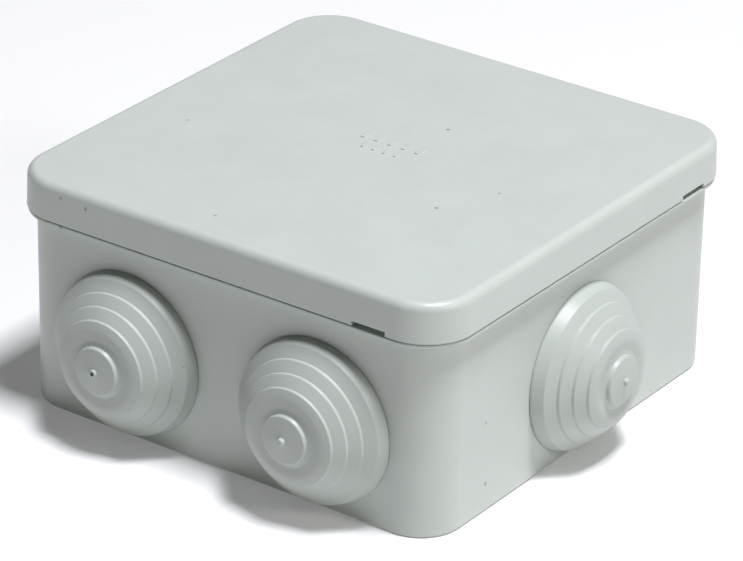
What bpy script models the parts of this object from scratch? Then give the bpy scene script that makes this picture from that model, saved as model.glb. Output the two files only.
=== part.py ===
"""Surface-mounted electrical junction box, 80 x 80 x 40 mm, with a push-fit lid and stepped cable glands.

Frame: +Z up, away from the wall or table that the base lies on. The origin is the centre of the
base's bottom face. -Y is the front, with two glands, and +X is the right, with one.
All lengths are in metres.
"""

import math

import bmesh
import bpy
from mathutils import Matrix, Vector

# ---------------------------------------------------------------- driving dimensions

GAP = 0.0003                   # left between pieces that touch on the real object
OVERRUN = 0.002                # how far a cutter runs past the face that it cuts

# Base: a square tray with a flange that the lid comes down to, and a thinner rim above it
BASE_HALF = 0.0400             # half the width at the top of the walls
BASE_DRAFT = 0.0001            # the walls come in this much at the bottom
BASE_CORNER = 0.0073
BASE_FOOT_ROUND = 0.0006
WALL = 0.0022
FLOOR = 0.0020
FLANGE_HALF = 0.0414
FLANGE_CORNER = 0.0084
FLANGE_LOW = 0.0330
FLANGE_TOP = 0.0336
RIM_TOP = 0.0370
RIM_THICK = 0.0014

# Lid: a shallow cap that comes down over the rim
LID_HALF = 0.0415
LID_DRAFT = 0.0002
LID_CORNER = 0.0085
LID_TOP_ROUND = 0.0012
LID_LOW = FLANGE_TOP + GAP
LID_TOP = 0.0403
LID_PLATE = 0.00175
SKIRT = 0.00175
CHANNEL_WALL_HALF = 0.0374     # outside of the inner wall that makes the seal's channel
CHANNEL_WALL = 0.0010
CHANNEL_WALL_LOW = 0.0347

# Pry slots in the lower edge of the skirt, one on each side
PRY_SLOT_LENGTH = 0.0060
PRY_SLOT_HEIGHT = 0.0011
PRY_SLOT_OFFSET = 0.0285       # from the side's middle, to the right as seen from outside

# Catches that hold the lid: a rib inside each side of the skirt, under a rib on the rim
CATCH_LENGTH = 0.0140
CATCH_HEIGHT = 0.0007
LID_CATCH_OUT = 0.00025
RIM_CATCH_OUT = 0.00015
LID_CATCH_LOW = 0.0347
RIM_CATCH_LOW = 0.0358

# Plain raised bars on the lid: (length, width, row's distance from the first, count, pitch)
MARK_TOP = 0.0405
MARK_CENTRE = (0.0010, 0.0035)
MARK_ROWS = ((0.0026, 0.0007, 0.0, 5, 0.0026), (0.0015, 0.0006, 0.0036, 4, 0.0021))

# Glands
GLAND_HEIGHT = 0.0148          # of the gland's axis
GLAND_PAIR_HALF = 0.0181       # half the distance between two glands on one side
GLAND_SINGLE_SHIFT = 0.0008    # of a side's only gland, to the left as seen from outside
GLAND_HOLE = 0.0110
GLAND_STEPS = 20
GLAND_FLANGE = 0.0138
GLAND_LIP = 0.0120
GLAND_OUT = 0.0093             # from the wall to the tip of the pip

# Wall-fixing bosses in the floor, and their insulating caps
FIXING_OFFSET = 0.0295
FIXING_BOSS = 0.0054
FIXING_BOSS_TOP = 0.0065
FIXING_BORE = 0.0024
FIXING_SEAT = 0.0030
FIXING_SEAT_RADIUS = 0.0042
CAP_STEPS = 16

# Terminal block
POLES = 3
POLE_PITCH = 0.0090
BLOCK_LOW = 0.0090
BLOCK_TOP = 0.0230
BLOCK_HALF_DEPTH = 0.0090
EAR_LENGTH = 0.0080
EAR_HALF_DEPTH = 0.0042
EAR_TOP = 0.0140
POST_OFFSET = 0.0175
POST_RADIUS = 0.0030
POST_PILOT = 0.0014
BARREL_WIDTH = 0.0060
BARREL_HALF_LENGTH = 0.0075
BARREL_LOW = 0.0108
BARREL_TOP = 0.0178
WIRE_BORE = 0.0021
WIRE_HEIGHT = 0.0138
CLAMP_OFFSET = 0.0042          # of a clamp screw from the middle of its barrel
CLAMP_WELL = 0.0026
CLAMP_HOLE = 0.0018

# ---------------------------------------------------------------- sizes that follow

CAVITY_HALF = BASE_HALF - WALL
CAVITY_CORNER = BASE_CORNER - WALL
RIM_HALF = CAVITY_HALF + RIM_THICK
SKIRT_INSIDE = LID_HALF - SKIRT
LID_UNDER = LID_TOP - LID_PLATE
BLOCK_HALF_LENGTH = POLES * POLE_PITCH / 2

# ---------------------------------------------------------------- scene and helpers

for old in list(bpy.data.objects):
    bpy.data.objects.remove(old)

parts = bpy.data.collections.new("junction_box")
helpers = bpy.data.collections.new("cutters")
for collection in (parts, helpers):
    bpy.context.scene.collection.children.link(collection)


def material(name, colour, roughness, metallic=0.0):
    """A Principled material of one colour."""
    made = bpy.data.materials.new(name)
    made.use_nodes = True
    shader = made.node_tree.nodes["Principled BSDF"]
    shader.inputs["Base Color"].default_value = (*colour, 1.0)
    shader.inputs["Roughness"].default_value = roughness
    shader.inputs["Metallic"].default_value = metallic
    return made


GREY_SHELL = material("grey_shell", (0.62, 0.65, 0.61), 0.42)
GREY_SOFT = material("grey_soft_pvc", (0.64, 0.67, 0.63), 0.55)
SEAL_RUBBER = material("seal_rubber", (0.06, 0.06, 0.06), 0.8)
CAP_PLASTIC = material("cap_plastic", (0.55, 0.57, 0.55), 0.5)
BLOCK_PLASTIC = material("block_polyamide", (0.80, 0.78, 0.70), 0.45)
BRASS = material("brass", (0.78, 0.60, 0.30), 0.3, 1.0)
ZINC = material("zinc_plated_steel", (0.72, 0.73, 0.75), 0.3, 1.0)


def add_object(name, mesh, finish=None):
    """Links a mesh as a part with its finish, or as a helper if it has none."""
    made = bpy.data.objects.new(name, mesh)
    if finish is None:
        helpers.objects.link(made)
        made.hide_render = True
        made.display_type = "WIRE"
    else:
        parts.objects.link(made)
        mesh.materials.append(finish)
    return made


def shade(mesh, angle=30):
    """Smooth shading, kept sharp at edges over the angle."""
    mesh.shade_smooth()
    mesh.set_sharp_from_angle(angle=math.radians(angle))


def edges_at(bm, height):
    """The edges that lie in the level plane at a height."""
    return [e for e in bm.edges if all(abs(v.co.z - height) < 1e-6 for v in e.verts)]


def rounded_block(name, half_x, half_y, low, high, corner, finish=None, draft=0.0,
                  top_round=0.0, foot_round=0.0, corner_steps=6):
    """An upright block with round corners; it can taper to the bottom or, with draft < 0, to the top."""
    bm = bmesh.new()
    bmesh.ops.create_cube(bm, size=2)
    size = Vector((half_x, half_y, (high - low) / 2))
    bmesh.ops.scale(bm, vec=size, verts=bm.verts)
    bmesh.ops.translate(bm, vec=(0, 0, (low + high) / 2), verts=bm.verts)
    if corner > 0:
        upright = [e for e in bm.edges if abs(e.verts[0].co.z - e.verts[1].co.z) > 1e-6]
        bmesh.ops.bevel(bm, geom=upright, offset=corner, segments=corner_steps, profile=0.5,
                        affect="EDGES", clamp_overlap=True)
    tapered_end = low if draft > 0 else high
    shrink = 1 - abs(draft) / half_x
    for vertex in bm.verts:
        if abs(vertex.co.z - tapered_end) < 1e-6:
            vertex.co.x *= shrink
            vertex.co.y *= shrink
    if foot_round > 0:
        bmesh.ops.bevel(bm, geom=edges_at(bm, low), offset=foot_round, segments=2, profile=0.5,
                        affect="EDGES", clamp_overlap=True)
    if top_round > 0:
        bmesh.ops.bevel(bm, geom=edges_at(bm, high), offset=top_round, segments=3, profile=0.5,
                        affect="EDGES", clamp_overlap=True)
    bmesh.ops.recalc_face_normals(bm, faces=bm.faces)
    mesh = bpy.data.meshes.new(name)
    bm.to_mesh(mesh)
    bm.free()
    shade(mesh)
    return add_object(name, mesh, finish)


def box_between(name, low, high, finish=None):
    """A plain box between two opposite corners."""
    middle = (Vector(low) + Vector(high)) / 2
    size = Vector(high) - Vector(low)
    bm = bmesh.new()
    bmesh.ops.create_cube(bm, size=1, matrix=Matrix.Translation(middle) @ Matrix.Diagonal((*size, 1)))
    mesh = bpy.data.meshes.new(name)
    bm.to_mesh(mesh)
    bm.free()
    return add_object(name, mesh, finish)


def cylinder(name, radius, start, end, steps=20):
    """A cylinder helper from one point to another."""
    start, end = Vector(start), Vector(end)
    turn = (end - start).to_track_quat("Z", "Y").to_matrix().to_4x4()
    bm = bmesh.new()
    bmesh.ops.create_cone(bm, cap_ends=True, segments=steps, radius1=radius, radius2=radius,
                          depth=(end - start).length,
                          matrix=Matrix.Translation((start + end) / 2) @ turn)
    mesh = bpy.data.meshes.new(name)
    bm.to_mesh(mesh)
    bm.free()
    shade(mesh)
    return add_object(name, mesh)


def turned(name, profile, steps, finish=None):
    """A solid of revolution about its own Z; the (radius, height) profile runs down its outer side."""
    mesh = bpy.data.meshes.new(name)
    points = [(radius, 0, height) for radius, height in profile]
    mesh.from_pydata(points, [(i, i + 1) for i in range(len(points) - 1)], [])
    made = add_object(name, mesh, finish)
    screw = made.modifiers.new("turn", "SCREW")
    screw.axis = "Z"
    screw.angle = math.tau
    screw.steps = steps
    screw.render_steps = steps
    screw.use_merge_vertices = True
    screw.merge_threshold = 0.00001
    screw.use_smooth_shade = True
    return made


def combine(target, other, operation):
    """Joins a helper to a part, or cuts the part with it."""
    step = target.modifiers.new(operation.lower() + "_" + other.name, "BOOLEAN")
    step.operation = operation
    step.object = other
    step.solver = "EXACT"


def cut(target, *others):
    for other in others:
        combine(target, other, "DIFFERENCE")


def join(target, *others):
    for other in others:
        combine(target, other, "UNION")


def axis_marker(name, location):
    """An empty that shows where a piece turns or slides."""
    marker = bpy.data.objects.new(name, None)
    marker.empty_display_size = 0.005
    marker.location = location
    parts.objects.link(marker)
    return marker


def quarter_turns(low, high):
    """The box between two corners, and its copies at a quarter, a half and three quarters of a turn."""
    for turn in range(4):
        spin = Matrix.Rotation(turn * math.pi / 2, 3, "Z")
        a, b = spin @ Vector(low), spin @ Vector(high)
        yield ([min(a[i], b[i]) for i in range(3)], [max(a[i], b[i]) for i in range(3)])


# ---------------------------------------------------------------- where the glands go

# name: (direction of the outward normal in degrees from +X, distance along the wall)
GLANDS = {
    "gland_front_left": (-90, -GLAND_PAIR_HALF),
    "gland_front_right": (-90, GLAND_PAIR_HALF),
    "gland_right": (0, -GLAND_SINGLE_SHIFT),
    "gland_back_left": (90, GLAND_PAIR_HALF),
    "gland_back_right": (90, -GLAND_PAIR_HALF),
    "gland_left": (180, -GLAND_SINGLE_SHIFT),
}


def gland_frame(direction, along):
    """The matrix that takes a gland's own +Z to its wall's outward normal, at the wall's face."""
    facing = math.radians(direction)
    outward = Vector((math.cos(facing), math.sin(facing), 0))
    sideways = Vector((-outward.y, outward.x, 0))
    centre = outward * BASE_HALF + sideways * along + Vector((0, 0, GLAND_HEIGHT))
    turn = Matrix((sideways, Vector((0, 0, 1)), outward)).transposed().to_4x4()
    return Matrix.Translation(centre) @ turn


# ---------------------------------------------------------------- base

def make_base():
    base = rounded_block("base", BASE_HALF, BASE_HALF, 0, (FLANGE_LOW + FLANGE_TOP) / 2, BASE_CORNER,
                         GREY_SHELL, draft=BASE_DRAFT, foot_round=BASE_FOOT_ROUND)
    join(base,
         rounded_block("base_flange", FLANGE_HALF, FLANGE_HALF, FLANGE_LOW, FLANGE_TOP, FLANGE_CORNER),
         rounded_block("base_rim", RIM_HALF, RIM_HALF, FLANGE_LOW - FLOOR, RIM_TOP,
                       CAVITY_CORNER + RIM_THICK))
    catch_reach = RIM_HALF + RIM_CATCH_OUT
    for number, (low, high) in enumerate(quarter_turns(
            (-CATCH_LENGTH / 2, RIM_HALF - RIM_THICK / 2, RIM_CATCH_LOW),
            (CATCH_LENGTH / 2, catch_reach, RIM_CATCH_LOW + CATCH_HEIGHT))):
        join(base, box_between(f"base_catch_{number}", low, high))
    cut(base, rounded_block("base_cavity", CAVITY_HALF, CAVITY_HALF, FLOOR, RIM_TOP + OVERRUN,
                            CAVITY_CORNER))
    for x in (-1, 1):
        post = (x * POST_OFFSET, 0)
        join(base, cylinder(f"post_{x}", POST_RADIUS, (*post, FLOOR / 2), (*post, BLOCK_LOW - GAP)))
        cut(base, cylinder(f"post_pilot_{x}", POST_PILOT, (*post, FLOOR * 2),
                           (*post, BLOCK_LOW + OVERRUN), steps=16))
        for y in (-1, 1):
            spot = (x * FIXING_OFFSET, y * FIXING_OFFSET)
            join(base, cylinder(f"boss_{x}_{y}", FIXING_BOSS, (*spot, FLOOR / 2),
                                (*spot, FIXING_BOSS_TOP)))
            cut(base,
                cylinder(f"boss_seat_{x}_{y}", FIXING_SEAT_RADIUS, (*spot, FIXING_SEAT),
                         (*spot, FIXING_BOSS_TOP + OVERRUN)),
                cylinder(f"boss_bore_{x}_{y}", FIXING_BORE, (*spot, -OVERRUN),
                         (*spot, FIXING_SEAT + OVERRUN), steps=16))
    for name, place in GLANDS.items():
        frame = gland_frame(*place)
        cut(base, cylinder(f"hole_{name}", GLAND_HOLE, frame @ Vector((0, 0, OVERRUN)),
                           frame @ Vector((0, 0, -WALL - OVERRUN))))
    return base


# ---------------------------------------------------------------- lid and seal

def make_lid():
    corner_inside = LID_CORNER - SKIRT
    wall_corner = BASE_CORNER - (BASE_HALF - CHANNEL_WALL_HALF)
    wall_inside = CHANNEL_WALL_HALF - CHANNEL_WALL
    lid = rounded_block("lid", LID_HALF, LID_HALF, LID_LOW, LID_TOP, LID_CORNER, GREY_SHELL,
                        draft=-LID_DRAFT, top_round=LID_TOP_ROUND)
    cut(lid, rounded_block("lid_hollow", SKIRT_INSIDE, SKIRT_INSIDE, LID_LOW - OVERRUN, LID_UNDER,
                           corner_inside))
    channel_wall = rounded_block("lid_channel_wall", CHANNEL_WALL_HALF, CHANNEL_WALL_HALF,
                                 CHANNEL_WALL_LOW, (LID_UNDER + LID_TOP) / 2, wall_corner)
    cut(channel_wall, rounded_block("lid_channel_inside", wall_inside, wall_inside,
                                    CHANNEL_WALL_LOW - OVERRUN, LID_UNDER, wall_corner - CHANNEL_WALL))
    join(lid, channel_wall)
    for number, (low, high) in enumerate(quarter_turns(
            (-CATCH_LENGTH / 2, SKIRT_INSIDE - LID_CATCH_OUT, LID_CATCH_LOW),
            (CATCH_LENGTH / 2, SKIRT_INSIDE + SKIRT / 2, LID_CATCH_LOW + CATCH_HEIGHT))):
        join(lid, box_between(f"lid_catch_{number}", low, high))
    slot_middle = -PRY_SLOT_OFFSET
    for number, (low, high) in enumerate(quarter_turns(
            (slot_middle - PRY_SLOT_LENGTH / 2, SKIRT_INSIDE - SKIRT / 2, LID_LOW - OVERRUN),
            (slot_middle + PRY_SLOT_LENGTH / 2, LID_HALF + OVERRUN, LID_LOW + PRY_SLOT_HEIGHT))):
        cut(lid, box_between(f"pry_slot_{number}", low, high))
    for row, (length, width, drop, count, pitch) in enumerate(MARK_ROWS):
        for place in range(count):
            x = MARK_CENTRE[0] + (place - (count - 1) / 2) * pitch
            y = MARK_CENTRE[1] - drop
            join(lid, box_between(f"mark_{row}_{place}",
                                  (x - width / 2, y - length / 2, LID_TOP - LID_PLATE / 2),
                                  (x + width / 2, y + length / 2, MARK_TOP)))
    return lid


def make_seal():
    outside = RIM_HALF
    inside = CAVITY_HALF + GAP / 3
    low, high = RIM_TOP + GAP, LID_UNDER - GAP
    seal = rounded_block("lid_seal", outside, outside, low, high, CAVITY_CORNER + RIM_THICK, SEAL_RUBBER)
    cut(seal, rounded_block("seal_inside", inside, inside, low - OVERRUN, high + OVERRUN, CAVITY_CORNER))
    return seal


# ---------------------------------------------------------------- glands

def gland_profile():
    """Pip, button, three steps and flange outside, then the neck, the lip and the hollow back to the axis."""
    profile = [(0, GLAND_OUT), (0.0005, GLAND_OUT), (0.0006, 0.0086), (0.0039, 0.0084), (0.0041, 0.0076)]
    edge_radius, edge_height, tread, rise, riser = 0.00805, 0.00715, 0.00165, 0.00165, 0.0005
    for step in range(3):
        radius = edge_radius + step * tread
        height = edge_height - step * rise
        profile += [(radius, height), (radius + 0.00005, height - riser)]
    hole_side = GLAND_HOLE - GAP
    behind = -WALL - GAP
    lip_end = behind - 0.0012
    profile += [(0.0130, 0.0021), (GLAND_FLANGE, GAP), (hole_side, GAP), (hole_side, behind),
                (GLAND_LIP, behind), (GLAND_LIP, lip_end), (0.0095, lip_end)]
    profile += [(0.0095, 0.0010), (0.0086, 0.0030), (0.0076, 0.0046), (0.0060, 0.0059), (0.0030, 0.0068),
                (0, 0.0068)]
    return profile


def make_glands():
    for name, place in GLANDS.items():
        gland = turned(name, gland_profile(), GLAND_STEPS, GREY_SOFT)
        gland.matrix_world = gland_frame(*place)


# ---------------------------------------------------------------- caps of the fixing holes

def make_caps():
    plug = FIXING_SEAT_RADIUS - GAP
    plug_low = 0.0042
    brim_low = FIXING_BOSS_TOP + GAP
    brim_top = brim_low + 0.0011
    tab_top = brim_top + 0.0013
    profile = [(0, tab_top), (0.0012, tab_top), (0.0015, brim_top), (0.0048, brim_top),
               (0.0052, brim_top - 0.0004), (0.0052, brim_low), (plug, brim_low),
               (plug - 0.0003, plug_low), (plug - 0.0010, plug_low), (plug - 0.0010, brim_low),
               (0, brim_low)]
    for side_x, x in (("left", -1), ("right", 1)):
        for side_y, y in (("front", -1), ("back", 1)):
            spot = (x * FIXING_OFFSET, y * FIXING_OFFSET, 0)
            cap = turned(f"screw_cap_{side_y}_{side_x}", profile, CAP_STEPS, CAP_PLASTIC)
            cap.parent = axis_marker(f"cap_slide_{side_y}_{side_x}", spot)


# ---------------------------------------------------------------- terminal block

def slotted_screw(name, head_radius, head_low, head_top, shank_radius, shank_low, finish):
    """A screw with a domed head, a driver slot and a chamfered tip, about its own Z."""
    crown = 0.0005
    chamfer = shank_radius * 0.4
    slot_depth = 0.0010
    slot_half_width = 0.0004
    screw = turned(name, [(0, head_top), (head_radius * 0.7, head_top), (head_radius, head_top - crown),
                          (head_radius, head_low), (shank_radius, head_low),
                          (shank_radius, shank_low + chamfer), (shank_radius - chamfer, shank_low),
                          (0, shank_low)], 16, finish)
    slot = box_between(f"{name}_slot", (-head_radius - OVERRUN, -slot_half_width, head_top - slot_depth),
                       (head_radius + OVERRUN, slot_half_width, head_top + OVERRUN))
    cut(screw, slot)
    return screw, slot


def place_on(marker, *objects):
    for each in objects:
        each.parent = marker


def pole_centres():
    return [(pole - (POLES - 1) / 2) * POLE_PITCH for pole in range(POLES)]


def make_terminal_block():
    block = rounded_block("terminal_block", BLOCK_HALF_LENGTH, BLOCK_HALF_DEPTH, BLOCK_LOW, BLOCK_TOP,
                          0.0008, BLOCK_PLASTIC, corner_steps=2, top_round=0.0006)
    reach = BLOCK_HALF_LENGTH + EAR_LENGTH
    join(block, rounded_block("block_ears", reach, EAR_HALF_DEPTH, BLOCK_LOW, EAR_TOP, 0.0030))
    for x in (-1, 1):
        cut(block, cylinder(f"ear_hole_{x}", POST_PILOT + GAP, (x * POST_OFFSET, 0, BLOCK_LOW - OVERRUN),
                            (x * POST_OFFSET, 0, EAR_TOP + OVERRUN), steps=16))
    for pole, x in enumerate(pole_centres()):
        half = BARREL_WIDTH / 2 + GAP
        cut(block, box_between(f"chamber_{pole}",
                               (x - half, -BLOCK_HALF_DEPTH - OVERRUN, BARREL_LOW - GAP),
                               (x + half, BLOCK_HALF_DEPTH + OVERRUN, BARREL_TOP + GAP)))
        for y in (-CLAMP_OFFSET, CLAMP_OFFSET):
            cut(block, cylinder(f"well_{pole}_{y:.4f}", CLAMP_WELL, (x, y, BARREL_TOP),
                                (x, y, BLOCK_TOP + OVERRUN), steps=16))
    return block


def make_barrels():
    for pole, x in enumerate(pole_centres(), start=1):
        barrel = rounded_block(f"terminal_barrel_{pole}", BARREL_WIDTH / 2, BARREL_HALF_LENGTH,
                               BARREL_LOW, BARREL_TOP, 0.0006, BRASS, corner_steps=2)
        barrel.location.x = x
        cut(barrel, cylinder(f"wire_bore_{pole}", WIRE_BORE,
                             (x, -BARREL_HALF_LENGTH - OVERRUN, WIRE_HEIGHT),
                             (x, BARREL_HALF_LENGTH + OVERRUN, WIRE_HEIGHT), steps=20))
        for y in (-CLAMP_OFFSET, CLAMP_OFFSET):
            cut(barrel, cylinder(f"clamp_hole_{pole}_{y:.4f}", CLAMP_HOLE, (x, y, WIRE_HEIGHT),
                                 (x, y, BARREL_TOP + OVERRUN), steps=16))


def make_screws():
    for side, x in (("left", -POST_OFFSET), ("right", POST_OFFSET)):
        screw, slot = slotted_screw(f"block_screw_{side}", 0.0029, EAR_TOP + GAP, EAR_TOP + 0.0024,
                                    POST_PILOT - GAP, 0.0055, ZINC)
        place_on(axis_marker(f"block_screw_axis_{side}", (x, 0, 0)), screw, slot)
    for pole, x in enumerate(pole_centres(), start=1):
        for side, y in (("front", -CLAMP_OFFSET), ("back", CLAMP_OFFSET)):
            screw, slot = slotted_screw(f"clamp_screw_{pole}_{side}", CLAMP_WELL - GAP,
                                        BARREL_TOP + 0.0012, BARREL_TOP + 0.0038, CLAMP_HOLE - GAP,
                                        WIRE_HEIGHT + 0.0010, ZINC)
            place_on(axis_marker(f"clamp_axis_{pole}_{side}", (x, y, 0)), screw, slot)


make_base()
lid_axis = axis_marker("lid_lift_axis", (0, 0, 0))
place_on(lid_axis, make_lid(), make_seal())
make_glands()
make_caps()
make_terminal_block()
make_barrels()
make_screws()
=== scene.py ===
"""Looks of the surface-mounted junction box: moulded shells, soft glands, foam seal and terminal block.

Frame: metres, +Z up, -Y the front with two glands, +X the right with one. Places come from the
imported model's own boxes; the fine shapes are turned or swept from rounded profiles.
"""

import math

import bmesh
import bpy
from mathutils import Matrix, Vector


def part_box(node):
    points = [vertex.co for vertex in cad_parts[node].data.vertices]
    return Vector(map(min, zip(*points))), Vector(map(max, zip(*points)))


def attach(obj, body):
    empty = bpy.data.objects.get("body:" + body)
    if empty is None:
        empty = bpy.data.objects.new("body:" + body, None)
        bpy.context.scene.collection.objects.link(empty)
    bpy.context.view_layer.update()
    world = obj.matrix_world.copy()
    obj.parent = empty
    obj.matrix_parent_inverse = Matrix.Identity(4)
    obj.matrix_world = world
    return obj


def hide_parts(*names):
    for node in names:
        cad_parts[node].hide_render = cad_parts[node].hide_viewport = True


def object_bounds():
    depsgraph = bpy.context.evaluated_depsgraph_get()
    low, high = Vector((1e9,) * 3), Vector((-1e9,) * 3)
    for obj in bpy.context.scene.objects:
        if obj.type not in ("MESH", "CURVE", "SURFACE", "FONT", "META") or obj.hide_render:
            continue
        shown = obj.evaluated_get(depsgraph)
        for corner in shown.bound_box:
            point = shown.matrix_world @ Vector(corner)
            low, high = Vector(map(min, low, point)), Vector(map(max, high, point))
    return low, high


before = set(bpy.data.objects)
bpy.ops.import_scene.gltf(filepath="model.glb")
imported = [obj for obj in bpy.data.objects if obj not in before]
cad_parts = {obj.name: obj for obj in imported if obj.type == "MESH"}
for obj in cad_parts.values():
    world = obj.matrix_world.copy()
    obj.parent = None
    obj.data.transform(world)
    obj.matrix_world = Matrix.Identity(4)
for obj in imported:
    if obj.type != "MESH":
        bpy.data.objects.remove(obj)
cad_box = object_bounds()

MM = 0.001
OVERRUN = 2 * MM                 # how far a cutter runs past the face that it cuts

# ---------------------------------------------------------------- sizes read from the frame

LID_LOW, LID_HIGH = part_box("lid")
BASE_LOW, BASE_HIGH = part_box("base")
SEAL_LOW, SEAL_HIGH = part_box("lid_seal")
BLOCK_LOW, BLOCK_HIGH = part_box("terminal_block")

# ---------------------------------------------------------------- sizes of the moulded shells

FLANGE_OUT = 1.4 * MM            # the base's flange stands this far out from its wall
FLANGE_THICK = 0.6 * MM
FLANGE_TOP = LID_LOW.z - 0.3 * MM
PARTING_GAP = 0.14 * MM          # between the lid and the flange
WALL_HALF = BASE_HIGH.x - FLANGE_OUT
WALL = 2.2 * MM
FLOOR = 2.0 * MM
BASE_DRAFT = 0.1 * MM
RIM_HALF = WALL_HALF - 0.8 * MM
RIM_TOP = BASE_HIGH.z
BASE_CORNER_CENTRE = WALL_HALF - 7.3 * MM
FOOT_ROUND = 0.6 * MM

LID_TOP = LID_HIGH.z - 0.2 * MM
LID_PLATE = 1.75 * MM
LID_DRAFT = 0.2 * MM
LID_TOP_ROUND = 1.4 * MM
LID_CORNER_CENTRE = LID_HIGH.x - 8.5 * MM
SKIRT = 1.75 * MM
CHANNEL_OUTSIDE = 37.4 * MM
CHANNEL_INSIDE = 36.4 * MM
CHANNEL_LOW = 34.7 * MM
SEAL_WIDTH = 1.35 * MM

PRY_SLOT = (6.1 * MM, 0.8 * MM)  # length and height
PRY_SLOT_OFFSET = 28.5 * MM      # from the side's middle, to the right as seen from outside
RIM_POCKET = 0.9 * MM            # depth of the pocket in the rim behind a pry slot
CATCH = (14.0 * MM, 0.7 * MM)    # length and height
LID_CATCH = (0.25 * MM, 34.7 * MM)   # how far it stands in, and its lower edge
RIM_CATCH = (0.15 * MM, 35.8 * MM)

BAR_CENTRE = (1.0 * MM, 3.5 * MM)
BAR_ROWS = ((2.6, 0.7, 0.0, 5, 2.6), (1.5, 0.6, 3.6, 4, 2.1))   # length, width, drop, count, pitch

GLAND_HOLE = 11.0 * MM
POST = (17.5 * MM, 3.0 * MM, 1.4 * MM)   # offset, radius and pilot
BOSS_RADIUS = 5.4 * MM
BOSS_TOP = 6.5 * MM
BOSS_SEAT = (4.2 * MM, 3.0 * MM)         # radius and height of its bottom
BOSS_BORE = 2.4 * MM

SPIGOT_FOOT = 0.5 * MM           # how much wider a boss or a post is where it meets the floor
CORNERS = ("front_left", "front_right", "back_left", "back_right")

CORNER_STEPS = 20
TURN_STEPS = 128

# ---------------------------------------------------------------- mesh helpers


def soften(outline, steps=5):
    """The points of a profile whose corners, (across, up, radius), are rounded to their radius."""
    made = []
    last = len(outline) - 1
    for place, (across, up, radius) in enumerate(outline):
        corner = Vector((across, up))
        if radius == 0 or place in (0, last):
            made.append(corner)
            continue
        back = Vector(outline[place - 1][:2]) - corner
        ahead = Vector(outline[place + 1][:2]) - corner
        half = back.angle(ahead) / 2
        reach = min(radius / math.tan(half), 0.48 * back.length, 0.48 * ahead.length)
        back.normalize()
        ahead.normalize()
        centre = corner + (back + ahead).normalized() * (reach / math.cos(half))
        start = corner + back * reach - centre
        end = corner + ahead * reach - centre
        sweep = start.angle_signed(end)
        for step in range(steps + 1):
            turn = Matrix.Rotation(-sweep * step / steps, 2)
            made.append(centre + turn @ start)
    return made


def loft(rings, closed=False):
    """A bmesh through rings of points. A ring of one point is a pole, and open ends are capped."""
    bm = bmesh.new()
    loops = [[bm.verts.new(point) for point in ring] for ring in rings]
    pairs = list(zip(loops, loops[1:]))
    if closed:
        pairs.append((loops[-1], loops[0]))
    for one, other in pairs:
        for i in range(max(len(one), len(other))):
            corners = [one[i % len(one)], one[(i + 1) % len(one)],
                       other[(i + 1) % len(other)], other[i % len(other)]]
            face = list(dict.fromkeys(corners))
            if len(face) > 2:
                bm.faces.new(face)
    if not closed:
        for end in (loops[0], loops[-1]):
            if len(end) > 2:
                bm.faces.new(end)
    bmesh.ops.recalc_face_normals(bm, faces=bm.faces)
    return bm


def square_ring(half, corner_centre, height):
    """A square of that half width whose corners are rounded about their centres."""
    radius = half - corner_centre
    points = []
    for quarter in range(4):
        spin = quarter * math.pi / 2
        cos, sin = math.cos(spin), math.sin(spin)
        middle = Vector((cos - sin, sin + cos)) * corner_centre
        for step in range(CORNER_STEPS + 1):
            angle = spin + step / CORNER_STEPS * math.pi / 2
            points.append((middle.x + radius * math.cos(angle), middle.y + radius * math.sin(angle), height))
    return points


def swept_square(outline, corner_centre, closed=False):
    """A profile of (half width, height) carried round a square with round corners."""
    return loft([square_ring(half, corner_centre, height) for half, height in outline], closed)


def turned(outline, steps=TURN_STEPS):
    """A profile of (radius, height) turned about Z."""
    rings = []
    for radius, height in outline:
        if radius == 0:
            rings.append([(0, 0, height)])
        else:
            angles = [math.tau * step / steps for step in range(steps)]
            rings.append([(radius * math.cos(a), radius * math.sin(a), height) for a in angles])
    return loft(rings)


def block(low, high, bevel=0.0):
    """A box between two corners, with rounded edges if it has a bevel."""
    low, high = Vector(low), Vector(high)
    bm = bmesh.new()
    bmesh.ops.create_cube(bm, size=1, matrix=Matrix.Translation((low + high) / 2)
                          @ Matrix.Diagonal((*(high - low), 1)))
    if bevel > 0:
        bmesh.ops.bevel(bm, geom=bm.edges[:], offset=bevel, segments=3, profile=0.5,
                        affect="EDGES", clamp_overlap=True)
    return bm


def rod(radius, start, end, steps=64):
    """A cylinder from one point to another."""
    start, end = Vector(start), Vector(end)
    turn = (end - start).to_track_quat("Z", "Y").to_matrix().to_4x4()
    bm = bmesh.new()
    bmesh.ops.create_cone(bm, cap_ends=True, segments=steps, radius1=radius, radius2=radius,
                          depth=(end - start).length, matrix=Matrix.Translation((start + end) / 2) @ turn)
    return bm


def add_object(name, bm):
    """An object in the scene with the bmesh's shape."""
    mesh = bpy.data.meshes.new(name)
    bm.to_mesh(mesh)
    bm.free()
    made = bpy.data.objects.new(name, mesh)
    bpy.context.scene.collection.objects.link(made)
    return made


def gathered(shapes):
    """One bmesh that holds all these shapes, which don't touch."""
    whole = bmesh.new()
    for shape in shapes:
        mesh = bpy.data.meshes.new("part")
        shape.to_mesh(mesh)
        shape.free()
        whole.from_mesh(mesh)
        bpy.data.meshes.remove(mesh)
    return whole


def bake(target):
    """Applies an object's modifiers to its mesh."""
    bpy.context.view_layer.update()
    made = bpy.data.meshes.new_from_object(target.evaluated_get(bpy.context.evaluated_depsgraph_get()))
    target.modifiers.clear()
    old = target.data
    target.data = made
    made.name = target.name
    bpy.data.meshes.remove(old)


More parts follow.
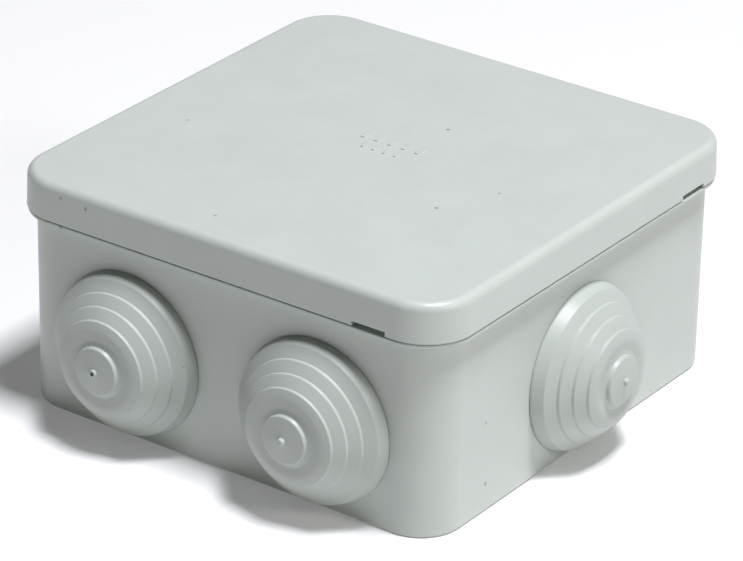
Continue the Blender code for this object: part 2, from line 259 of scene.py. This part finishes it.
def combine(target, operation, *shapes):
    """Joins shapes that don't touch each other to a piece (UNION), or cuts it with them (DIFFERENCE)."""
    other = add_object(target.name + "_tool", gathered(shapes))
    step = target.modifiers.new("combine", "BOOLEAN")
    step.operation = operation
    step.object = other
    step.solver = "EXACT"
    bake(target)
    bpy.data.objects.remove(other)


def shade(target, angle=35):
    """Smooth shading that stays crisp at sharp edges and keeps large flat faces flat."""
    target.data.shade_smooth()
    target.data.set_sharp_from_angle(angle=math.radians(angle))
    step = target.modifiers.new("normals", "WEIGHTED_NORMAL")
    step.keep_sharp = True
    step.weight = 50
    bake(target)


def finish_piece(piece, body, slot, material, *nodes):
    """Shades a piece, gives it its material, hangs it on the body that moves it, and hides the model's nodes
    that it stands for.
    """
    shade(piece)
    piece.data.materials.clear()
    piece.data.materials.append(material)
    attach(piece, body)
    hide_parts(*nodes)
    return piece


def axis_of(node):
    """Where the upright axis of a round node stands, as x and y."""
    low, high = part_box(node)
    return (low.x + high.x) / 2, (low.y + high.y) / 2


def quarter_boxes(low, high, bevel=0.0):
    """The box between two corners and its copies a quarter, a half and three quarters of a turn on."""
    for turn in range(4):
        bm = block(low, high, bevel)
        bmesh.ops.rotate(bm, verts=bm.verts, matrix=Matrix.Rotation(turn * math.pi / 2, 3, "Z"))
        yield bm


# ---------------------------------------------------------------- materials


class Shader:
    """A Principled material and short ways to add nodes to it."""

    def __init__(self, name, colour, roughness, metallic=0.0, specular=0.5):
        self.material = bpy.data.materials.new(name)
        self.material.use_nodes = True
        self.nodes = self.material.node_tree.nodes
        self.links = self.material.node_tree.links
        self.surface = self.nodes["Principled BSDF"]
        self.surface.inputs["Base Color"].default_value = (*colour, 1)
        self.surface.inputs["Roughness"].default_value = roughness
        self.surface.inputs["Metallic"].default_value = metallic
        self.surface.inputs["Specular IOR Level"].default_value = specular
        self.place = self.nodes.new("ShaderNodeTexCoord").outputs["Object"]

    def noise(self, size, detail=3.0, roughness=0.5):
        """Noise whose features are about this many metres across."""
        made = self.nodes.new("ShaderNodeTexNoise")
        made.inputs["Scale"].default_value = 1 / size
        made.inputs["Detail"].default_value = detail
        made.inputs["Roughness"].default_value = roughness
        self.links.new(self.place, made.inputs["Vector"])
        return made.outputs["Fac"]

    def ramp(self, source, *stops):
        """A colour ramp from (position, colour) stops."""
        made = self.nodes.new("ShaderNodeValToRGB")
        self.links.new(source, made.inputs["Fac"])
        elements = made.color_ramp.elements
        for element, (position, colour) in zip(elements, stops):
            element.position = position
            element.color = (*colour, 1)
        for position, colour in stops[2:]:
            elements.new(position).color = (*colour, 1)
        return made.outputs["Color"]

    def mix(self, share, source, colour):
        """The source's colour where the share is 0, and the given one where it is 1."""
        made = self.nodes.new("ShaderNodeMix")
        made.data_type = "RGBA"
        self.links.new(share, made.inputs["Factor"])
        self.links.new(source, made.inputs["A"])
        made.inputs["B"].default_value = (*colour, 1)
        return made.outputs["Result"]

    def spread(self, source, low, high, start=0.3, end=0.7):
        """The source's values from start to end, spread from low to high."""
        made = self.nodes.new("ShaderNodeMapRange")
        self.links.new(source, made.inputs["Value"])
        for key, value in (("From Min", start), ("From Max", end), ("To Min", low), ("To Max", high)):
            made.inputs[key].default_value = value
        return made.outputs["Result"]

    def bump(self, source, depth):
        """Normals of a surface that rises this many metres where the source is 1."""
        made = self.nodes.new("ShaderNodeBump")
        made.inputs["Strength"].default_value = 1.0
        made.inputs["Distance"].default_value = depth
        self.links.new(source, made.inputs["Height"])
        return made.outputs["Normal"]

    def use(self, **sockets):
        """The material, with these sources on the surface's sockets."""
        for key, source in sockets.items():
            self.links.new(source, self.surface.inputs[key.replace("_", " ").title()])
        return self.material


def tinted(colour, factor):
    """A lighter or darker colour of the same hue."""
    return tuple(channel * factor for channel in colour)


def specks(shader, size, threshold):
    """A few tiny dark inclusions in the plastic, as a 0 to 1 share."""
    made = shader.nodes.new("ShaderNodeTexVoronoi")
    made.inputs["Scale"].default_value = 1 / size
    shader.links.new(shader.place, made.inputs["Vector"])
    near = shader.spread(made.outputs["Distance"], 1.0, 0.0, start=0.05, end=0.085)
    chosen = shader.nodes.new("ShaderNodeSeparateColor")
    shader.links.new(made.outputs["Color"], chosen.inputs["Color"])
    rare = shader.spread(chosen.outputs["Red"], 0.0, 0.55, start=threshold, end=threshold + 0.002)
    both = shader.nodes.new("ShaderNodeMath")
    both.operation = "MULTIPLY"
    shader.links.new(near, both.inputs[0])
    shader.links.new(rare, both.inputs[1])
    return both.outputs["Value"]


def moulded(name, colour, roughness, grain, depth, mottle=0.02, dust=False):
    """Moulded plastic: fine eroded grain, faint flow mottle, and a little change of gloss."""
    shader = Shader(name, colour, roughness)
    flow = shader.noise(9 * MM, detail=4)
    base = shader.ramp(flow, (0.3, tinted(colour, 1 - mottle)), (0.7, tinted(colour, 1 + mottle)))
    if dust:
        base = shader.mix(specks(shader, 5 * MM, 0.93), base, tinted(colour, 0.25))
    fine = shader.noise(grain, detail=2)
    gloss = shader.spread(shader.noise(2.5 * MM), roughness - 0.04, roughness + 0.04)
    return shader.use(base_color=base, roughness=gloss, normal=shader.bump(fine, depth))


SHELL_COLOUR = (0.535, 0.575, 0.535)
SOFT_COLOUR = (0.465, 0.500, 0.465)

grey_shell = moulded("grey_shell", SHELL_COLOUR, 0.36, 0.25 * MM, 0.004 * MM, dust=True)
grey_soft = moulded("grey_soft_pvc", SOFT_COLOUR, 0.42, 0.3 * MM, 0.004 * MM, mottle=0.025, dust=True)
cap_plastic = moulded("cap_plastic", (0.50, 0.53, 0.50), 0.45, 0.25 * MM, 0.004 * MM)
block_plastic = moulded("block_polyamide", (0.74, 0.72, 0.63), 0.38, 0.3 * MM, 0.003 * MM)


def make_foam():
    """Black closed-cell foam rubber."""
    shader = Shader("seal_rubber", (0.035, 0.035, 0.035), 0.8, specular=0.3)
    cells = shader.noise(0.35 * MM, detail=3, roughness=0.7)
    base = shader.ramp(cells, (0.35, (0.02, 0.02, 0.02)), (0.65, (0.055, 0.055, 0.053)))
    return shader.use(base_color=base, normal=shader.bump(cells, 0.05 * MM))


def make_metal(name, colour, roughness, streak):
    """Plain metal with fine drawing or turning marks along one direction and a little tarnish."""
    shader = Shader(name, colour, roughness, metallic=1.0)
    stretch = shader.nodes.new("ShaderNodeMapping")
    stretch.inputs["Scale"].default_value = streak
    shader.links.new(shader.place, stretch.inputs["Vector"])
    plain = shader.place
    shader.place = stretch.outputs["Vector"]
    lines = shader.noise(0.15 * MM, detail=2)
    shader.place = plain
    stain = shader.noise(2 * MM, detail=4)
    base = shader.ramp(stain, (0.35, tinted(colour, 0.88)), (0.65, colour))
    gloss = shader.spread(lines, roughness - 0.07, roughness + 0.09)
    return shader.use(base_color=base, roughness=gloss, normal=shader.bump(lines, 0.002 * MM))


foam = make_foam()
brass = make_metal("brass", (0.80, 0.60, 0.29), 0.30, (1, 0.05, 1))
zinc = make_metal("zinc_plated_steel", (0.70, 0.71, 0.73), 0.28, (1, 1, 0.3))

# ---------------------------------------------------------------- glands


GLANDS = {
    "gland_front_left": {"open_pip": True, "moulding_line": -11},
    "gland_front_right": {},
    "gland_right": {},
    "gland_back_left": {},
    "gland_back_right": {},
    "gland_left": {},
}
OUTWARD = {
    "front": Vector((0, -1, 0)), "right": Vector((1, 0, 0)),
    "back": Vector((0, 1, 0)), "left": Vector((-1, 0, 0)),
}
# The corners of a gland's profile, (radius, height over the wall, round) in millimetres.
GLAND_BUTTON = ((0.62, 8.62, 0.12), (3.95, 8.36, 0.28))
GLAND_MOAT = ((4.12, 7.66, 0.12), (4.8, 7.50, 0.8), (6.5, 7.62, 3.0))
GLAND_RIM = (8.05, 7.15, 0.16)   # of the highest step
GLAND_STEPS = 3
GLAND_TREAD = 1.65               # each step is this much wider and lower than the one over it
GLAND_RISER = (0.06, 0.46, 0.08)
GLAND_FLANGE = ((13.12, 2.15, 0.35), (13.75, 0.30, 0.15), (13.78, 0.02, 0.05), (10.7, 0.02, 0.05))
GLAND_LIP = ((10.7, -2.5, 0.1), (12.0, -2.6, 0.3), (11.9, -3.7, 0.4), (9.5, -3.7, 0.3))
GLAND_HOLLOW = ((9.45, 1.0, 0.3), (8.55, 3.0, 0.5), (7.5, 4.65, 0.5), (5.9, 6.0, 0.5), (3.0, 6.85, 0.5),
                (0, 6.9, 0))


def gland_seat(node):
    """The way a gland faces, and the middle of its seat on the wall."""
    low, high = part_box(node)
    middle = (low + high) / 2
    outward = OUTWARD[node.split("_")[1]]
    return outward, middle + outward * (WALL_HALF - middle.dot(outward))


def gland_outline(open_pip):
    """Pip, button, moat, three steps and flange, then the neck, the lip and the hollow behind."""
    pip_top = (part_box("gland_right")[1].x - WALL_HALF) / MM
    if open_pip:
        corners = [(0, pip_top - 1.0, 0), (0.26, pip_top - 1.0, 0.05),
                   (0.34, pip_top - 0.15, 0.08), (0.58, pip_top - 0.2, 0.12)]
    else:
        corners = [(0, pip_top, 0), (0.58, pip_top, 0.5)]
    corners += GLAND_BUTTON + GLAND_MOAT
    radius, height, rim_round = GLAND_RIM
    across, down, riser_round = GLAND_RISER
    for step in range(GLAND_STEPS):
        corners += [(radius, height, rim_round), (radius + across, height - down, riser_round)]
        radius += GLAND_TREAD
        height -= GLAND_TREAD
    corners += GLAND_FLANGE + GLAND_LIP + GLAND_HOLLOW
    return soften([(across * MM, up * MM, rounding * MM) for across, up, rounding in corners])


def moulding_rib(angle):
    """A thin rib down the slope under the lowest step, at this angle about the gland's axis."""
    rib = block((11.5 * MM, -0.09 * MM, 1.2 * MM), (13.0 * MM, 0.09 * MM, 2.42 * MM))
    bmesh.ops.rotate(rib, verts=rib.verts, cent=(11.7 * MM, 0, 2.3 * MM),
                     matrix=Matrix.Rotation(math.radians(24), 3, "Y"))
    bmesh.ops.rotate(rib, verts=rib.verts, matrix=Matrix.Rotation(math.radians(angle), 3, "Z"))
    return rib


def make_gland(node, open_pip=False, moulding_line=None):
    """A soft stepped gland, turned upright and then laid against its wall."""
    outward, seat = gland_seat(node)
    upward = Vector((0, 0, 1))
    turn = Matrix((upward.cross(outward), upward, outward)).transposed()
    gland = add_object(node + "_soft", turned(gland_outline(open_pip)))
    if moulding_line is not None:
        combine(gland, "UNION", moulding_rib(moulding_line))
    gland.data.transform(Matrix.Translation(seat) @ turn.to_4x4())
    return finish_piece(gland, "box", "grey_soft_pvc", grey_soft, node)


# ---------------------------------------------------------------- base


def spigot(radius, top, edge, steps):
    """A round boss or post that stands on the floor, a little wider at its foot."""
    return turned(soften([(0, FLOOR / 2, 0), (radius + SPIGOT_FOOT, FLOOR / 2, 0),
                          (radius + SPIGOT_FOOT, FLOOR, 0), (radius, FLOOR + 0.05 * MM, 0.6 * MM),
                          (radius, top, edge), (0, top, 0)]), steps)


def make_base():
    """The housing: walls, floor, bosses, posts, catch ribs, gland holes and pockets at the rim."""
    flange = BASE_HIGH.x
    cavity = WALL_HALF - WALL
    foot = WALL_HALF - BASE_DRAFT
    flange_low = FLANGE_TOP - FLANGE_THICK
    outline = soften([
        (foot - 6 * MM, 0, 0), (foot, 0, FOOT_ROUND), (WALL_HALF, flange_low, 0.2 * MM),
        (flange, flange_low, 0.18 * MM), (flange, FLANGE_TOP, 0.18 * MM),
        (RIM_HALF, FLANGE_TOP, 0.2 * MM), (RIM_HALF, RIM_TOP, 0.3 * MM), (cavity, RIM_TOP, 0.3 * MM),
        (cavity, FLOOR, 0.8 * MM), (cavity - 5 * MM, FLOOR, 0)])
    base = add_object("base_shell", swept_square(outline, BASE_CORNER_CENTRE))
    offset, post_radius, pilot = POST
    post_top = BLOCK_LOW.z - 0.3 * MM
    bosses = []
    cutters = []
    seat_radius, seat_height = BOSS_SEAT
    for corner in CORNERS:
        spot = Matrix.Translation((*axis_of("screw_cap_" + corner), 0))
        boss = spigot(BOSS_RADIUS, BOSS_TOP, 0.3 * MM, 96)
        bore = turned(soften([
            (0, -OVERRUN, 0), (BOSS_BORE, -OVERRUN, 0), (BOSS_BORE, seat_height, 0.05 * MM),
            (seat_radius, seat_height + 0.02 * MM, 0.3 * MM), (seat_radius, BOSS_TOP - 0.3 * MM, 0),
            (seat_radius + 0.3 * MM, BOSS_TOP + OVERRUN, 0), (0, BOSS_TOP + OVERRUN, 0)]), 96)
        for shape, group in ((boss, bosses), (bore, cutters)):
            bmesh.ops.transform(shape, matrix=spot, verts=shape.verts)
            group.append(shape)
    for x in (-offset, offset):
        post = spigot(post_radius, post_top, 0.2 * MM, 64)
        bmesh.ops.translate(post, vec=(x, 0, 0), verts=post.verts)
        bosses.append(post)
        cutters.append(rod(pilot, (x, 0, FLOOR + 1 * MM), (x, 0, post_top + OVERRUN)))
    combine(base, "UNION", *bosses)
    reach, edge = RIM_CATCH
    combine(base, "UNION", *quarter_boxes((-CATCH[0] / 2, RIM_HALF - 0.5 * MM, edge),
                                          (CATCH[0] / 2, RIM_HALF + reach, edge + CATCH[1]), 0.12 * MM))
    for node in GLANDS:
        outward, seat = gland_seat(node)
        cutters.append(rod(GLAND_HOLE, seat + outward * OVERRUN, seat - outward * (WALL + OVERRUN), 96))
    half_pocket = PRY_SLOT[0] / 2 + 0.3 * MM
    pocket_top = FLANGE_TOP + PRY_SLOT[1] + 0.6 * MM
    cutters += quarter_boxes(
        (-PRY_SLOT_OFFSET - half_pocket, RIM_HALF - RIM_POCKET, FLANGE_TOP - 0.05 * MM),
        (-PRY_SLOT_OFFSET + half_pocket, RIM_HALF + OVERRUN / 2, pocket_top))
    combine(base, "DIFFERENCE", *cutters)
    return finish_piece(base, "box", "grey_shell", grey_shell, "base")


# ---------------------------------------------------------------- lid and seal


def make_lid():
    """The cover: plate, skirt, seal channel, catch ribs, pry slots and raised bars."""
    outside = LID_HIGH.x
    inside = outside - SKIRT
    under = LID_TOP - LID_PLATE
    low = FLANGE_TOP + PARTING_GAP
    outline = soften([
        (outside - 7 * MM, LID_TOP, 0), (outside - LID_DRAFT, LID_TOP, LID_TOP_ROUND),
        (outside, low, 0.22 * MM), (inside, low, 0.15 * MM), (inside, under, 0.3 * MM),
        (CHANNEL_OUTSIDE, under, 0.2 * MM),
        (CHANNEL_OUTSIDE, CHANNEL_LOW, 0.3 * MM), (CHANNEL_INSIDE, CHANNEL_LOW, 0.3 * MM),
        (CHANNEL_INSIDE, under, 0.4 * MM), (CHANNEL_INSIDE - 3 * MM, under, 0)], steps=8)
    lid = add_object("lid_shell", swept_square(outline, LID_CORNER_CENTRE))
    reach, edge = LID_CATCH
    combine(lid, "UNION", *quarter_boxes((-CATCH[0] / 2, inside - reach, edge),
                                         (CATCH[0] / 2, inside + SKIRT / 2, edge + CATCH[1]), 0.12 * MM))
    length, height = PRY_SLOT
    combine(lid, "DIFFERENCE", *quarter_boxes(
        (-PRY_SLOT_OFFSET - length / 2, inside - 0.4 * MM, low - OVERRUN),
        (-PRY_SLOT_OFFSET + length / 2, outside + OVERRUN, low + height), 0.1 * MM))
    bars = []
    for long, wide, drop, count, pitch in BAR_ROWS:
        for place in range(count):
            x = BAR_CENTRE[0] + (place - (count - 1) / 2) * pitch * MM
            y = BAR_CENTRE[1] - drop * MM
            bars.append(block((x - wide * MM / 2, y - long * MM / 2, LID_TOP - 0.4 * MM),
                              (x + wide * MM / 2, y + long * MM / 2, LID_HIGH.z), 0.1 * MM))
    combine(lid, "UNION", *bars)
    return finish_piece(lid, "lid", "grey_shell", grey_shell, "lid")


def make_seal():
    """The foam ring that sits in the lid's channel."""
    low, high = SEAL_LOW.z, SEAL_HIGH.z
    outside = SEAL_HIGH.x
    inside = outside - SEAL_WIDTH
    edge = 0.3 * MM
    outline = soften([(inside, (low + high) / 2, 0), (inside, high, edge), (outside, high, edge),
                      (outside, low, edge), (inside, low, 0)])
    seal = add_object("foam_seal", swept_square(outline, BASE_CORNER_CENTRE, closed=True))
    return finish_piece(seal, "lid", "seal_rubber", foam, "lid_seal")


# ---------------------------------------------------------------- screw caps


def make_cap(node):
    """A screw cap: knob, dished brim and hollow plug."""
    low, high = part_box(node)
    radius = (high.x - low.x) / 2
    brim_top = high.z - 1.3 * MM
    brim_low = brim_top - 1.1 * MM
    plug = 3.9 * MM
    cap = turned(soften([
        (0, high.z, 0), (1.25 * MM, high.z, 0.35 * MM), (1.5 * MM, brim_top - 0.15 * MM, 0.3 * MM),
        (3.9 * MM, brim_top - 0.15 * MM, 0.2 * MM), (4.1 * MM, brim_top, 0.15 * MM),
        (radius, brim_top, 0.4 * MM), (radius, brim_low, 0.12 * MM), (plug, brim_low, 0.15 * MM),
        (plug - 0.3 * MM, low.z, 0.25 * MM), (plug - 1.0 * MM, low.z, 0.2 * MM),
        (plug - 1.0 * MM, brim_low, 0.3 * MM), (0, brim_low, 0)]), 80)
    bmesh.ops.translate(cap, vec=(*axis_of(node), 0), verts=cap.verts)
    return finish_piece(add_object(node + "_moulded", cap), node, "cap_plastic", cap_plastic, node)


# ---------------------------------------------------------------- terminal block, barrels and screws

BARRELS = ("terminal_barrel_1", "terminal_barrel_2", "terminal_barrel_3")
CLAMP_SCREWS = tuple(f"clamp_screw_{pole}_{side}" for pole in (1, 2, 3) for side in ("front", "back"))
CLAMP_WELL = (2.6 * MM, 6 * MM)  # radius and depth
EAR_LENGTH = 8 * MM
EAR_TOP = 14.0 * MM
EAR_HALF_DEPTH = 4.2 * MM
EAR_HOLE = 1.7 * MM
BARREL_PLAY = 0.3 * MM           # between a barrel and the block
GROOVE_HALF = 0.35 * MM          # the V grooves between the poles are cut by a bar on its edge
WIRE_BORE = (2.1 * MM, 2.5 * MM)     # radius inside and at the mouth
WIRE_BORE_HEIGHT = 3.0 * MM      # its axis over the barrel's underside
SCREW_HOLE = 1.8 * MM

# head radius, head height and shank radius
CLAMP_SCREW = (2.3 * MM, 2.6 * MM, 1.5 * MM)
BLOCK_SCREW = (2.9 * MM, 2.1 * MM, 1.1 * MM)
THREAD_PITCH = 0.5 * MM
THREAD_ROOT = 0.86               # of the shank's radius
SCREW_SLOT = (0.4 * MM, 1.0 * MM)    # half width and depth


def rounded_slab(low, high, corner, edge):
    """An upright block with round corners and a small round on its top and bottom edges."""
    bm = block(low, high)
    upright = [e for e in bm.edges if abs(e.verts[0].co.z - e.verts[1].co.z) > 1e-6]
    bmesh.ops.bevel(bm, geom=upright, offset=corner, segments=8, profile=0.5, affect="EDGES")
    level = [e for e in bm.edges if abs(e.verts[0].co.z - e.verts[1].co.z) < 1e-6]
    bmesh.ops.bevel(bm, geom=level, offset=edge, segments=3, profile=0.5, affect="EDGES")
    return bm


def make_block():
    """The terminal block: body and ears, channels for the barrels, screw wells and V grooves."""
    low, high = BLOCK_LOW, BLOCK_HIGH
    half_length = high.x - EAR_LENGTH
    body = rounded_slab((-half_length, low.y, low.z), (half_length, high.y, high.z), 0.8 * MM, 0.3 * MM)
    piece = add_object("terminal_block_moulded", body)
    combine(piece, "UNION", rounded_slab((low.x, -EAR_HALF_DEPTH, low.z), (high.x, EAR_HALF_DEPTH, EAR_TOP),
                                         3.0 * MM, 0.3 * MM))
    cutters = []
    for node in BARRELS:
        inner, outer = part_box(node)
        cutters.append(block((inner.x - BARREL_PLAY, low.y - OVERRUN, inner.z - BARREL_PLAY),
                             (outer.x + BARREL_PLAY, high.y + OVERRUN, outer.z + BARREL_PLAY), 0.2 * MM))
    combine(piece, "DIFFERENCE", *cutters)
    wells = []
    radius, depth = CLAMP_WELL
    for node in CLAMP_SCREWS:
        well = turned([(0, high.z + OVERRUN), (radius + 0.5 * MM, high.z + 0.2 * MM),
                       (radius, high.z - 0.5 * MM), (radius, high.z - depth), (0, high.z - depth)], 64)
        bmesh.ops.translate(well, vec=(*axis_of(node), 0), verts=well.verts)
        wells.append(well)
    for x in (-POST[0], POST[0]):
        wells.append(rod(EAR_HOLE, (x, 0, low.z - OVERRUN), (x, 0, EAR_TOP + OVERRUN)))
    combine(piece, "DIFFERENCE", *wells)
    grooves = []
    centres = [axis_of(node)[0] for node in BARRELS]
    for one, other in zip(centres, centres[1:]):
        groove = block((-GROOVE_HALF, low.y - OVERRUN, -GROOVE_HALF),
                       (GROOVE_HALF, high.y + OVERRUN, GROOVE_HALF))
        bmesh.ops.rotate(groove, verts=groove.verts, matrix=Matrix.Rotation(math.pi / 4, 3, "Y"))
        bmesh.ops.translate(groove, vec=((one + other) / 2, 0, high.z), verts=groove.verts)
        grooves.append(groove)
    combine(piece, "DIFFERENCE", *grooves)
    return finish_piece(piece, "box", "block_polyamide", block_plastic, "terminal_block")


def make_barrel(node):
    """A square barrel with a countersunk wire bore along Y and a screw hole at each end."""
    low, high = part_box(node)
    x = axis_of(node)[0]
    barrel = add_object(node + "_brass", block(low, high, 0.35 * MM))
    bore_height = low.z + WIRE_BORE_HEIGHT
    inner, mouth = WIRE_BORE
    bore = turned([(0, -9 * MM), (mouth, -9 * MM), (mouth, -7.4 * MM), (inner, -7.0 * MM),
                   (inner, 7.0 * MM), (mouth, 7.4 * MM), (mouth, 9 * MM), (0, 9 * MM)], 64)
    bmesh.ops.rotate(bore, verts=bore.verts, matrix=Matrix.Rotation(math.pi / 2, 3, "X"))
    bmesh.ops.translate(bore, vec=(x, 0, bore_height), verts=bore.verts)
    combine(barrel, "DIFFERENCE", bore)
    holes = []
    for y in {axis_of(screw)[1] for screw in CLAMP_SCREWS}:
        holes.append(rod(SCREW_HOLE, (x, y, bore_height), (x, y, high.z + OVERRUN), 48))
    combine(barrel, "DIFFERENCE", *holes)
    return finish_piece(barrel, "box", "brass", brass, node)


def make_screw(node, body, sizes, turn):
    """A slotted cheese-head screw with a rolled thread, its slot turned by this many degrees."""
    low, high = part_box(node)
    head_radius, head_height, shank_radius = sizes
    head_low = high.z - head_height
    root = shank_radius * THREAD_ROOT
    profile = [(0, high.z, 0), (head_radius * 0.72, high.z, 0.3 * MM),
               (head_radius, high.z - 0.5 * MM, 0.3 * MM), (head_radius, head_low, 0.12 * MM),
               (root, head_low, 0)]
    for step in range(int((head_low - low.z - 0.6 * MM) / THREAD_PITCH)):
        top = head_low - 0.2 * MM - step * THREAD_PITCH
        profile += [(root, top, 0), (shank_radius, top - THREAD_PITCH * 0.4, 0.05 * MM),
                    (shank_radius, top - THREAD_PITCH * 0.5, 0.05 * MM), (root, top - THREAD_PITCH * 0.9, 0)]
    profile += [(shank_radius * 0.6, low.z, 0.1 * MM), (0, low.z, 0)]
    screw = add_object(node + "_steel", turned(soften(profile, steps=3), 48))
    half_width, depth = SCREW_SLOT
    slot = block((-head_radius - OVERRUN, -half_width, high.z - depth),
                 (head_radius + OVERRUN, half_width, high.z + OVERRUN))
    bmesh.ops.rotate(slot, verts=slot.verts, matrix=Matrix.Rotation(math.radians(turn), 3, "Z"))
    combine(screw, "DIFFERENCE", slot)
    screw.data.transform(Matrix.Translation((*axis_of(node), 0)))
    return finish_piece(screw, body, "zinc_plated_steel", zinc, node)


# ---------------------------------------------------------------- make the pieces

make_base()
make_lid()
make_seal()
for node, details in GLANDS.items():
    make_gland(node, **details)
for corner in CORNERS:
    make_cap("screw_cap_" + corner)
make_block()
for node in BARRELS:
    make_barrel(node)
for place, node in enumerate(CLAMP_SCREWS):
    make_screw(node, node, CLAMP_SCREW, 20 + 37 * place)
for place, node in enumerate(("block_screw_left", "block_screw_right")):
    make_screw(node, "box", BLOCK_SCREW, 15 + 80 * place)

# ---------------------------------------------------------------- floor, lights and camera

FLOOR_HALF = 12.0
FLOOR_DEPTH = 10 * MM
FLOOR_GAP = 0.05 * MM            # between the floor and the box
FLOOR_GLOW = 0.15                # the table is lit a little from below, so that no shadow is heavy


def make_floor():
    """A wide pale table top."""
    floor = add_object("floor", block((-FLOOR_HALF, -FLOOR_HALF, -FLOOR_DEPTH),
                                      (FLOOR_HALF, FLOOR_HALF, cad_box[0].z - FLOOR_GAP)))
    shader = Shader("floor_acrylic", (0.74, 0.74, 0.74), 0.7, specular=0.2)
    shader.surface.inputs["Emission Color"].default_value = (1, 1, 1, 1)
    shader.surface.inputs["Emission Strength"].default_value = FLOOR_GLOW
    tone = shader.ramp(shader.noise(0.4), (0.3, (0.73, 0.73, 0.73)), (0.7, (0.75, 0.75, 0.75)))
    floor.data.materials.append(shader.use(base_color=tone))


def direction(azimuth, elevation):
    """From the middle towards a place; azimuth 0 is the front, -Y, and 90 the right, +X."""
    a, e = math.radians(azimuth), math.radians(elevation)
    return Vector((math.sin(a) * math.cos(e), -math.cos(a) * math.cos(e), math.sin(e)))


# name: (azimuth, elevation, distance, size, watts, colour)
LIGHTS = {
    "overhead_softbox": (90, 75, 1.2, 0.25, 18.2, (0.95, 0.955, 1.0)),
    "right_softbox": (90, 30, 1.2, 0.30, 2.9, (1.0, 0.98, 0.95)),
}


def make_light(name, azimuth, elevation, distance, size, watts, colour):
    """A square softbox that faces the middle of the box."""
    data = bpy.data.lights.new(name, "AREA")
    data.shape = "SQUARE"
    data.size = size
    data.energy = watts
    data.color = colour
    lamp = bpy.data.objects.new(name, data)
    toward = direction(azimuth, elevation)
    lamp.location = (cad_box[0] + cad_box[1]) / 2 + toward * distance
    lamp.rotation_euler = toward.to_track_quat("Z", "Y").to_euler()
    bpy.context.scene.collection.objects.link(lamp)


def make_world(level):
    """An even, faint light from everywhere."""
    world = bpy.data.worlds.new("studio")
    world.use_nodes = True
    world.node_tree.nodes["Background"].inputs["Color"].default_value = (level, level, level, 1)
    bpy.context.scene.world = world


WORLD_LIGHT = 0.012

CAMERA_AZIMUTH = 35.25
CAMERA_ELEVATION = 26.529
CAMERA_ROLL = 1.113
CAMERA_DISTANCE = 0.7048
CAMERA_HEIGHT_OF_AIM = 0.020
CAMERA_ASIDE = -0.000324         # this far to its own right
CAMERA_ABOVE = -0.002620         # and up
CAMERA_LENS = 213.86


def make_camera():
    """A long lens that looks down at the front right corner."""
    data = bpy.data.cameras.new("camera")
    data.lens = CAMERA_LENS
    data.clip_start = 0.05
    data.clip_end = 60
    camera = bpy.data.objects.new("camera", data)
    back = direction(CAMERA_AZIMUTH, CAMERA_ELEVATION)
    right = Vector((0, 0, 1)).cross(back).normalized()
    up = back.cross(right)
    axes = Matrix((right, up, back)).transposed() @ Matrix.Rotation(math.radians(CAMERA_ROLL), 3, "Z")
    aim = Vector((0, 0, CAMERA_HEIGHT_OF_AIM))
    place = aim + axes @ Vector((CAMERA_ASIDE, CAMERA_ABOVE, CAMERA_DISTANCE))
    camera.matrix_world = Matrix.Translation(place) @ axes.to_4x4()
    bpy.context.scene.collection.objects.link(camera)
    bpy.context.scene.camera = camera


make_floor()
for name, setting in LIGHTS.items():
    make_light(name, *setting)
make_world(WORLD_LIGHT)
make_camera()
bpy.context.scene.view_settings.view_transform = "Standard"
